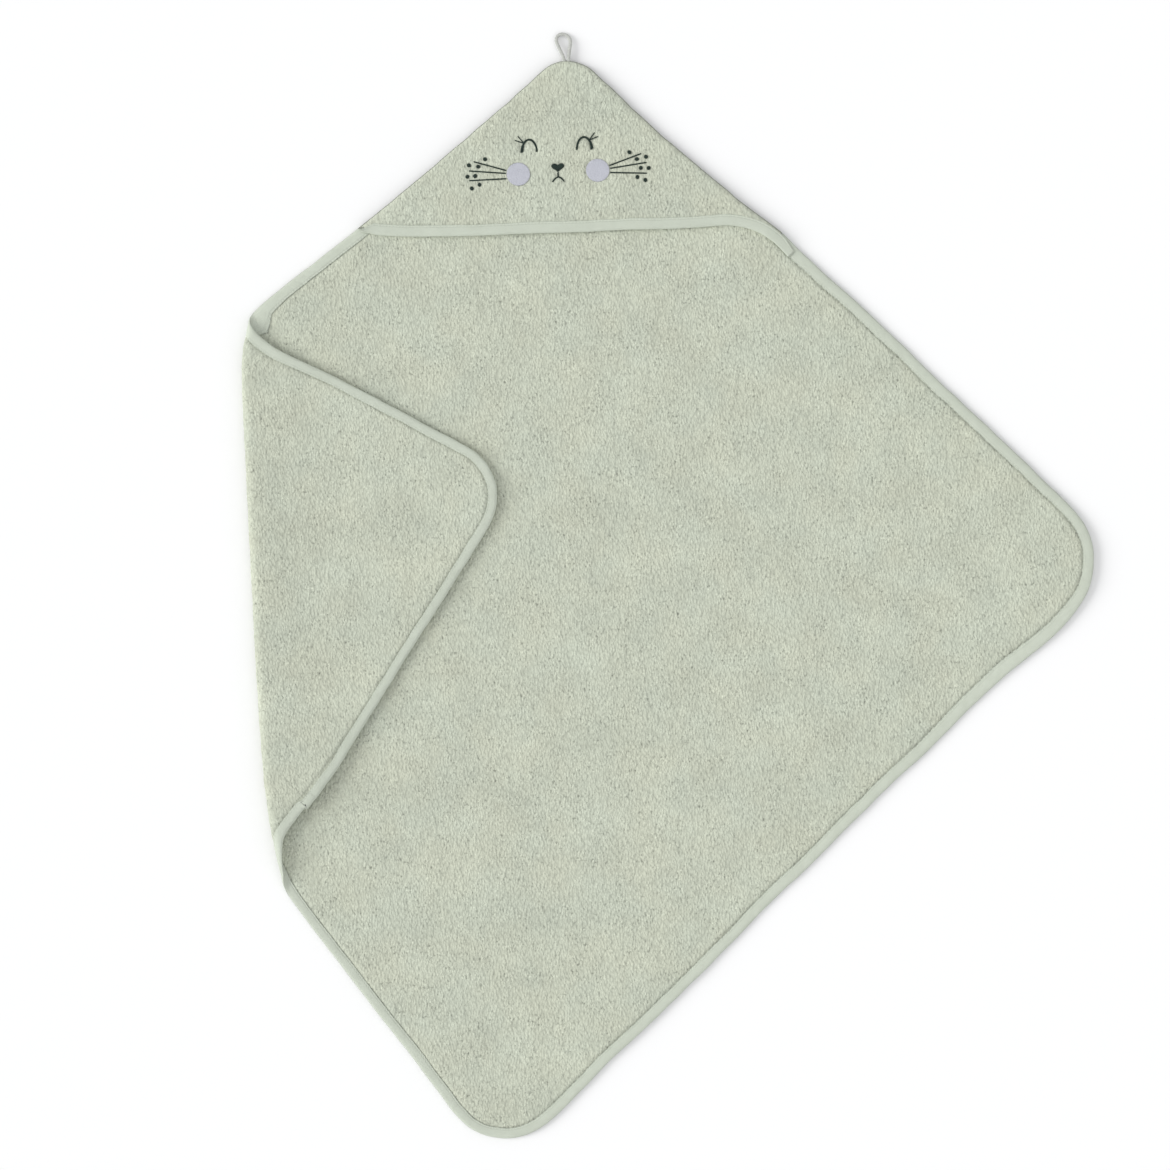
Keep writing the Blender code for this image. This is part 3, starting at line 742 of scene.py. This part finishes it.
def body_terry():
    """The whole body cloth, with its corner turned over."""
    edge = EDGE + inward(EDGE) * TUCK
    seam = in_cloth(SEAM + inward(SEAM) * 0.0003)
    outline = resampled(np.concatenate((edge, seam[2:-2], edge[:1])), 0.0028)[:-1]
    corners = (FOLD_LOW, FOLD_HIGH, FLAP_TIP, HOOD_LEFT, HOOD_RIGHT)
    low, high, tip, left, right = map(in_cloth, corners)
    width = edge_width(lengths(EDGE))[:, None]
    rings = np.concatenate([EDGE + inward(EDGE) * width * inset for inset in GROOVE_RINGS])

    def covered(points):
        """Under the folded corner or under the hood."""
        flap = (side_of(points, high, tip) > 0.035) & (side_of(points, tip, low) > 0.035)
        return flap | (side_of(points, left, right) < -0.012)

    def clear(points):
        return nearest(points, outline) > 0.0012

    def seen_front(points):
        return (points[:, 0] > -FOLD_MARGIN) & ~covered(points) & clear(points)

    def seen_back(points):
        return (points[:, 0] < FOLD_MARGIN) & clear(points)

    def filled(seen, seed):
        dense = scattered(outline, DENSE, lambda at: seen(at) & (nearest(at, rings) > 0.0010), seed)
        unseen = scattered(outline, COARSE, lambda at: ~seen(at) & (nearest(at, outline) > 0.003), seed + 1)
        return np.concatenate((dense, unseen, rings[seen(rings)]))

    def place(points, side):
        half, open_pile, apart, _ = body_half(points)
        shown = np.where(side > 0, seen_front(points), seen_back(points))
        height = side * (half + shown * open_pile * (0.0003 + pile(points, 51)))
        rim = nearest(points, in_cloth(SEAM))
        height = np.where((side < 0) & (rim < SEAM_ROUND), -TERRY_HALF * ease(rim, -0.004, 0.003), height)
        height = np.where((side == 0) & (rim < 0.001), -0.5 * TERRY_HALF, height)
        return laid(points, height - edge_lift(points, apart))

    made, flat = sheet("terry_body", outline, filled(seen_front, 1), filled(seen_back, 3), place, TERRY)
    # Painted shade for the groove beside the binding.
    paint_groove_shade(made, body_half(flat)[3])
    return made, flat


def hood_terry():
    """The hood's triangle, its sides drawn down to the body at the seam."""
    mouth = (MOUTH + inward(MOUTH) * 0.006)[12:-6]
    seam = SEAM + inward(SEAM) * 0.0003
    outline = resampled(np.concatenate((seam, mouth, seam[:1])), 0.0020)[:-1]
    gap = HOOD_Z - BODY_Z - 0.0002

    def clear(points):
        return nearest(points, outline) > 0.0007

    def place(points, side):
        crown = np.sqrt(1 - (1 - np.clip(nearest(points, SEAM) / SEAM_ROUND, 0, 1)) ** 2)
        bound = TUCKED_HALF + (TERRY_HALF - TUCKED_HALF) * ease(nearest(points, MOUTH), 0.0112, 0.0142)
        top = bound + 0.0003 + pile(points, 61) - 0.0007 * pressed(points)
        height = np.where(side > 0, (top + gap) * crown - gap, (gap - bound) * crown - gap)
        height = np.where(side == 0, gap * crown - gap, height)
        laid_down = on_hood(points, height)
        laid_down[:, 2] -= puff(points) * (side < 0)
        return laid_down

    inner = [SEAM + inward(SEAM) * step for step in (0.0012, 0.0025)]
    lip = [MOUTH + inward(MOUTH) * 0.94 * step for step in GROOVE_RINGS]
    front = scattered(outline, 0.0019, clear, 5)
    front = front[(nearest(front, SEAM) > 0.0035) & (nearest(front, np.concatenate(lip)) > 0.0008)]
    lip = np.concatenate(lip)[::2]
    lip = lip[(side_of(lip, HOOD_LEFT, TIP) > 0.004) & (side_of(lip, TIP, HOOD_RIGHT) > 0.004)]
    front = np.concatenate((front, *inner, lip))
    back = scattered(outline, 0.006, clear, 6)
    back = np.concatenate((back[nearest(back, SEAM) > 0.004], *inner))
    made, flat = sheet("terry_hood", outline, front, back, place, TERRY)
    # Painted shade for the groove beside the mouth's binding, fainter than on the body.
    paint_groove_shade(made, 0.3 * groove_shading(nearest(flat, MOUTH) - 0.94 * GROOVE_RINGS[1]))
    return made, flat


# ---- binding and stitching
UNDER_MARK = -0.4  # tells the tape's look that a side gets only a little of the painted shade in the groove


def tape_profile():
    """The folded tape's section as (inset, height), given in mm: its outside, then the fold's inside."""
    top = [
        (12.00, 0.95), (12.05, 1.35), (11.70, 1.62), (11.20, 1.62), (10.75, 1.48),
        (10.50, 1.42), (10.25, 1.48), (9.80, 1.70), (8.60, 1.86), (6.50, 1.94),
        (4.20, 1.92), (2.50, 1.76), (1.20, 1.40), (0.35, 0.80), (0.00, 0.00),
    ]
    inside = [(11.90, -0.90), (1.60, -1.05), (0.90, 0.00), (1.60, 1.05), (11.90, 0.90)]
    under = [(inset, -height) for inset, height in reversed(top[:-1])]
    return 0.001 * np.array(top + under + inside)


def binding(name, edge, lay, width, squeeze, seed, over):
    """Folded tape along an edge. width and squeeze give its width and thickness along the edge as shares,
    lay(points, height, along) lays it down, and over marks its top, which sets how much painted shade
    its look puts in the groove at the tape's inner edge."""
    place, rise = tape_profile().T
    along = lengths(edge)[:, None]
    pucker = np.sin(2 * math.pi * along / STITCH_PITCH) * ease(place, 0.008, 0.0105)
    inset = place * width(along) + 0.00010 * pucker + 0.0003 * noise(along, 0 * along, 0.018, seed)
    inset = np.where(place > 0.002, inset, place)
    slack = 1 + 0.05 * pucker + 0.06 * noise(along, place * 3, 0.006, seed + 1)
    height = rise * slack * squeeze(along)
    points = edge[:, None] + inward(edge)[:, None] * inset[..., None]
    cloth = np.stack(np.broadcast_arrays(along, place, np.where(rise > 0, over, UNDER_MARK)), -1)
    faces = lattice_faces(len(edge), len(place))
    return piece(name, lay(points, height, along), faces, TAPE, cloth), points


def stitch_places(edge):
    """How far along an edge each point of each stitch in its row is."""
    starts = np.arange(STITCH_PITCH, lengths(edge)[-1] - STITCH_PITCH, STITCH_PITCH)
    return starts[:, None] + np.linspace(0, 1, STITCH_POINTS) * STITCH_LENGTH


def stitching(name, edge, lay, width, squeeze):
    """A row of stitches near a tape's inner edge, on its top and its underside."""
    at = stitch_places(edge)
    inset = STITCH_INSET * width(at)
    points = read_along(edge, edge, at) + read_along(edge, inward(edge), at) * inset[..., None]
    arch = 0.00125 + 0.00040 * np.sin(math.pi * np.linspace(0, 1, STITCH_POINTS))
    routes = [lay(points, side * squeeze(at) * arch, at) for side in (1, -1)]
    cloth = np.stack((at, 0 * at, 0 * at), -1)
    made = threads(name, np.concatenate(routes), STITCH_RADIUS, STITCH, (cloth, cloth))
    return made, np.concatenate((points, points))


def bound(name, edge, lay, width, squeeze, seed, over=0.4):
    """A binding and its stitching, each with where its points lie in the flat."""
    tape, points = binding(name + "_binding", edge, lay, width, squeeze, seed, over)
    stitches, places = stitching(name + "_stitching", edge, lay, width, squeeze)
    return tape, points, stitches, np.repeat(places[..., None, :], 6, -2)


OVERLAP_AT = 0.058  # the tape's two ends overlap this far up the folded corner's lower edge
OVERLAP_STEP = 0.0022  # how far the upper end stands out over the lower one
OVERLAP_FADE = 0.11


def to_overlap(along):
    """How far past the overlap's step a place on the bound edge is."""
    return along - TO_FOLD - OVERLAP_AT


def overlap(along):
    """The tape's thickness, which steps up where its ends overlap."""
    past = to_overlap(along)
    return 1 + 0.35 * ease(past, 0, 0.001) * ease(0.018 - past, 0, 0.001)


def stepped(edge):
    """The bound edge with the overlap's small step outwards."""
    past = to_overlap(lengths(edge))
    out = OVERLAP_STEP * ease(past, 0, 0.001) * (1 - ease(past, 0.02, OVERLAP_FADE))
    return edge - inward(edge) * out[:, None]


FINE_EDGE = stepped(resampled(EDGE, 0.00125))
FINE_MOUTH = resampled(MOUTH, 0.00125)


def body_binding():
    def lay(points, height, along):
        return laid(points, height - edge_lift(points, 0))

    return bound("edge", FINE_EDGE, lay, edge_width, overlap, 71)


def mouth_binding():
    """Tape round the hood's open edge, drawn in at its left end and flattened at its right."""
    total = lengths(FINE_MOUTH)[-1]

    def width(along):
        drawn_in = np.minimum(0.94, 0.24 + (total - along) / 0.0165)
        return drawn_in * (0.75 + 0.25 * ease(along, 0, 0.02))

    def squeeze(along):
        return 0.35 + 0.65 * ease(along, 0.004, 0.035)

    def lay(points, height, along):
        placed = on_hood(points, height)
        placed[..., 2] -= (1 - squeeze(along)) * TERRY_HALF
        return placed

    return bound("mouth", FINE_MOUTH, lay, width, squeeze, 81, over=UNDER_MARK)


# ---- embroidered face
FACE_THREAD = 0.00021
SATIN_STEP = 1.7 * FACE_THREAD
SATIN_SLANT = 0.35
EYE_HALF_SPACING = 0.0274
EYE_BASE = 0.0163
EYE_WIDTH = 0.015
EYE_HEIGHT = 0.0125
EYE_STROKE = 0.0021
LASH_STROKE = 0.0011
LASH_ROOT = 50.0
LASHES = ((52.0, 0.0094), (20.5, 0.0096))
NOSE_HEIGHT = 0.0095
MOUTH_DROP = 0.0050
MOUTH_STEM = 0.0045
MOUTH_STROKE = 0.0016
MOUTH_SPREAD = 0.006
MOUTH_FALL = 0.005
CHEEK_DOWN = 0.0050
WHISKER_STROKE = 0.0014


def middle(node):
    low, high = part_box(node)
    return np.array(((low.x + high.x) / 2, (low.y + high.y) / 2))


FACE_RIGHT = unit(middle("cheek_right") - middle("cheek_left"))
FACE_UP = np.array((-FACE_RIGHT[1], FACE_RIGHT[0]))
FACE = np.stack((FACE_RIGHT, FACE_UP))
NOSE = (middle("cheek_left") + middle("cheek_right")) / 2 + FACE_UP * CHEEK_DOWN


def on_face(points):
    """Places on the hood, from places on the face, given from the nose."""
    return NOSE + np.asarray(points, float) @ FACE


def in_face(places):
    """The other way round."""
    return (places - NOSE) @ FACE.T


def strands_along(path, stroke, swell=0.0):
    """Satin stitches side by side across a line that may swell towards its start."""
    line = resampled(np.asarray(path, float), SATIN_STEP)
    normal = inward(line)
    run = np.stack((-normal[:, 1], normal[:, 0]), -1)
    along = lengths(line)
    ends = ease(along, -0.0004, 0.0006) * ease(along[-1] - along, -0.0004, 0.0006)
    thick = stroke * (1 + swell * (1 - ease(along, 0, 0.012)))
    across = (normal + SATIN_SLANT * run) * (ends * thick / 2)[:, None]
    return line[:, None] + across[:, None] * np.linspace(-1, 1, 7)[:, None]


def strands_over(outline, heading, count=7):
    """Satin stitches side by side over a closed shape."""
    run = walk(0, (1, heading))
    side = np.array((-run[1], run[0]))
    rows = outline @ side
    levels = np.arange(rows.min() + FACE_THREAD, rows.max(), SATIN_STEP)
    found = []
    for level in levels:
        crossings = []
        for this in range(len(outline)):
            that = this - 1
            if (rows[this] - level) * (rows[that] - level) < 0:
                share = (level - rows[this]) / (rows[that] - rows[this])
                crossings.append((outline[this] + share * (outline[that] - outline[this])) @ run)
        if len(crossings) > 1:
            places = np.linspace(min(crossings), max(crossings), count)
            found.append(places[:, None] * run + level * side)
    return np.array(found)


def arc(middle_x, base, wide, high, start=0.0, end=math.pi, steps=24):
    turns = np.linspace(start, end, steps)
    return np.stack((middle_x + wide * np.cos(turns), base + high * np.sin(turns)), -1)


def disc(node, steps):
    """A round CAD node's outline on the face."""
    x, y = in_face(middle(node))
    low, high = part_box(node)
    return arc(x, y, (high.x - low.x) / 2, (high.y - low.y) / 2, 0, 2 * math.pi, steps + 1)[:-1]


def heart(width, height):
    """A heart that stands on its point."""
    turns = np.linspace(0, 2 * math.pi, 40, endpoint=False)
    rise = 13 * np.cos(turns) - 5 * np.cos(2 * turns) - 2 * np.cos(3 * turns) - np.cos(4 * turns)
    return np.stack((np.sin(turns) ** 3 * width / 2, rise / 29 * height), -1)


def face_motifs():
    """Every embroidered motif as (CAD node, stitches on the hood, look)."""
    motifs = []

    def add(node, strands, look=DARK):
        motifs.append((node, on_face(strands), look))

    nose_low, nose_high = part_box("nose")
    add("nose", strands_over(heart(nose_high.x - nose_low.x, NOSE_HEIGHT), 90))
    split = -MOUTH_DROP - MOUTH_STEM
    foot = split - MOUTH_FALL
    add("mouth_stem", strands_along([(0, -MOUTH_DROP), (0, split)], MOUTH_STROKE))
    bow = [(-MOUTH_SPREAD, foot), (-MOUTH_SPREAD / 2, foot + 0.0034), (0, split)]
    bow += [(MOUTH_SPREAD / 2, foot + 0.0034), (MOUTH_SPREAD, foot)]
    add("mouth_curve", strands_along(bow, MOUTH_STROKE))
    for side, sign in (("left", -1), ("right", 1)):
        arch = arc(sign * EYE_HALF_SPACING, EYE_BASE, sign * EYE_WIDTH / 2, EYE_HEIGHT)
        add(f"eye_{side}", strands_along(arch, EYE_STROKE, swell=0.5))
        root = arch[round(LASH_ROOT / 180 * (len(arch) - 1))]
        for number, (heading, reach) in enumerate(LASHES, 1):
            end = root + walk(0, (reach, heading)) * (sign, 1)
            add(f"lash_{side}_{number}", strands_along([root, end], LASH_STROKE))
        node = f"cheek_{side}"
        add(node, strands_over(disc(node, 48), 80, 25), BLUSH)
        for number in range(1, 4):
            node = f"whisker_{side}_{number}"
            add(node, strands_along(whisker(node, sign), WHISKER_STROKE))
        for number in range(1, 8):
            node = f"freckle_{side}_{number}"
            add(node, strands_over(disc(node, 16), 30 * number))
    return motifs


def whisker(node, sign):
    """A whisker's line, from end to end of its CAD node."""
    corners = np.array([vertex.co[:2] for vertex in frame["nodes"][node].data.vertices])
    inner = corners[np.argsort(sign * corners[:, 0])[:4]].mean(0)
    outer = corners[np.argsort(-sign * corners[:, 0])[:4]].mean(0)
    return in_face(np.array((inner, outer)))


MOTIFS = face_motifs()
STITCHED = np.concatenate([strands.reshape(-1, 2) for _, strands, _ in MOTIFS])


def pressed(points):
    """Where the embroidery holds the hood's pile down, from 0 to 1."""
    return 1 - ease(nearest(points, STITCHED), 0.0007, 0.0024)


def embroider(name, strands, look):
    """Stitches that arch over the pile, each sunk into it at both ends."""
    share = np.linspace(0, 1, strands.shape[1])
    reach = np.linalg.norm(strands[:, -1] - strands[:, 0], axis=1)
    rise = 0.0003 + 0.0004 * ease(reach, 0.0005, 0.006)
    height = TERRY_HALF - 0.0001 + rise[:, None] * np.sin(math.pi * share) ** 0.5
    cloth = np.concatenate((strands, 0 * strands[..., :1]), -1)
    routes = on_hood(strands, height)
    return threads(name, routes, FACE_THREAD, look, cloth, sides=5)


# ---- hanging loop
CORD_RADIUS = 0.00175
CORD_TWIST = 0.0075  # along the cord, over which its plies go round once
PLY_RADIUS = 0.56 * CORD_RADIUS


def loop_route():
    """The loop's middle line, out of the seam, round the far end and back."""
    low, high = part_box("hanging_loop")
    cord = 2 * CORD_RADIUS
    centre_x, far, root = (low.x + high.x) / 2, high.y, low.y - 0.006
    radius = (high.x - low.x - cord) / 2
    centre_y = far - cord / 2 - radius
    turns = np.linspace(-0.30, math.pi + 0.30, 40)
    bend = np.stack((radius * np.cos(turns), centre_y + radius * np.sin(turns)), -1)
    feet = np.array(((0.0021, root), (0.0023, root + 0.006)))
    route = np.concatenate((feet, bend, feet[::-1] * (-1, 1)))
    route = smoothed(resampled(route, 0.0005), 0.0018)
    lean = 0.16 * (route[:, 1] - root)
    share = ease(route[:, 1], root + 0.004, far)
    level = np.interp(share, (0, 1), (FOLD[2], cord / 2 + 0.0006))
    x = centre_x - lean + route[:, 0]
    return np.stack((x, route[:, 1], level + settle(x, route[:, 1]) * (1 - share)), -1)


def twisted(name, routes):
    """Cords of three plies along the routes."""
    plies, coats = [], []
    for route in routes:
        side, up = square_to(route, (0, 0, 1))
        along = lengths(route)
        for ply in range(3):
            turn = 2 * math.pi * (along / CORD_TWIST + ply / 3)[:, None]
            plies.append(route + CORD_RADIUS / 2 * (side * np.cos(turn) + up * np.sin(turn)))
            coats.append(np.stack((along, np.full_like(along, ply), 0 * along), -1))
    return threads(name, plies, PLY_RADIUS, CORD, coats, sides=10)


def caught_ends():
    """The two ends of the loop's cord, inside the seam."""
    low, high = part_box("loop_anchor")
    level = (low.z + high.z) / 2
    share = np.linspace(0, 1, 24)[:, None]
    routes = []
    for x in (low.x + CORD_RADIUS, high.x - CORD_RADIUS):
        routes.append(np.array((x, low.y, level)) + share * (0, high.y - low.y, 0))
    return twisted("loop_root", routes)


def hood_stitches():
    """The thread of the hood's turned seam, deep between the two cloths."""
    edge = resampled(SEAM, 0.00125)
    at = stitch_places(edge)
    spots = read_along(edge, edge, at)
    level = BODY_Z + 0.0002 + settle(spots[..., 0], spots[..., 1])
    routes = np.concatenate((spots, level[..., None]), -1)
    return threads("hood_seams", routes, STITCH_RADIUS, STITCH, np.stack((at, 0 * at, 0 * at), -1))


def blended(made, other, weights, *nodes):
    """A piece baked into the world's frame, with the CAD nodes it stands for hidden; other and weights are
    not used.
    """
    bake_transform(made)
    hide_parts(*nodes)
    return made


def ridden(made, body, *nodes):
    """A piece that moves with one body."""
    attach(made, body)
    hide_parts(*nodes)


def build():
    body, flat = body_terry()
    weights = fold_weight(flat, nearest(flat, EDGE))
    blended(body, "corner", weights, "towel_panel", "corner_flap", "corner_crease")
    tape, tape_at, stitches, stitch_at = body_binding()
    tape_nodes = ["edge_tape_main", "edge_tape_upper_left", "edge_tape_flap"]
    tape_nodes += ["crease_tape_upper", "crease_tape_lower"]
    blended(tape, "corner", fold_weight(tape_at), *tape_nodes)
    blended(stitches, "corner", fold_weight(stitch_at), "stitch_main", "stitch_upper_left", "stitch_flap")

    hood, hood_flat = hood_terry()
    blended(hood, "hood", hood_weight(hood_flat), "hood_panel")
    mouth, mouth_at, mouth_stitches, mouth_stitch_at = mouth_binding()
    blended(mouth, "hood", hood_weight(mouth_at), "hood_mouth_tape")
    blended(mouth_stitches, "hood", hood_weight(mouth_stitch_at), "stitch_hood_mouth")
    for node, strands, look in MOTIFS:
        made = embroider(node + "_satin", strands, look)
        blended(made, "hood", np.repeat(hood_weight(strands)[..., None], 5, -1), node)

    ridden(twisted("loop_cord", [loop_route()]), "loop", "hanging_loop")
    ridden(caught_ends(), "towel", "loop_anchor")
    ridden(hood_stitches(), "towel", "hood_seam_left", "hood_seam_right")


# ---- studio
VIEW_MIDDLE = (-0.0835, 0.0)
VIEW_WIDTH = 1.170
CAMERA_HEIGHT = 3.4
FLOOR_HALF = 20.0


def floor():
    mesh = bpy.data.meshes.new("floor")
    side = FLOOR_HALF
    corners = [(-side, -side, 0), (side, -side, 0), (side, side, 0), (-side, side, 0)]
    mesh.from_pydata(corners, [], [(0, 1, 2, 3)])
    look = bpy.data.materials.new("floor")
    look.use_nodes = True
    surface = look.node_tree.nodes["Principled BSDF"]
    surface.inputs["Base Color"].default_value = (0.93, 0.93, 0.93, 1)
    surface.inputs["Roughness"].default_value = 0.9
    surface.inputs["Specular IOR Level"].default_value = 0.1
    mesh.materials.append(look)
    made = in_scene("floor", mesh)


def lamp(name, place, spread, power, colour):
    """A broad, even light from far away."""
    light = bpy.data.lights.new(name, "SUN")
    light.angle = math.radians(spread)
    light.energy = power
    light.color = colour
    made = in_scene(name, light)
    made.location = place
    made.rotation_euler = (-Vector(place)).to_track_quat("-Z", "Y").to_euler()


def studio():
    floor()
    lamp("key", (-2.0, 0.1, 1.02), 34, 2.08, (1.0, 1.0, 0.99))
    lamp("fill", (1.6, -1.4, 2.2), 60, 0.50, (0.98, 0.99, 1.0))
    world = bpy.data.worlds.new("studio")
    world.use_nodes = True
    sky = world.node_tree.nodes["Background"]
    sky.inputs["Color"].default_value = (0.985, 0.99, 1.0, 1)
    sky.inputs["Strength"].default_value = 0.67
    scene = bpy.context.scene
    scene.world = world
    scene.view_settings.view_transform = "Standard"
    camera = bpy.data.cameras.new("camera")
    camera.sensor_width = 36
    camera.lens = camera.sensor_width * CAMERA_HEIGHT / VIEW_WIDTH
    made = in_scene("camera", camera)
    made.location = (*VIEW_MIDDLE, CAMERA_HEIGHT)
    scene.camera = made


build()
studio()
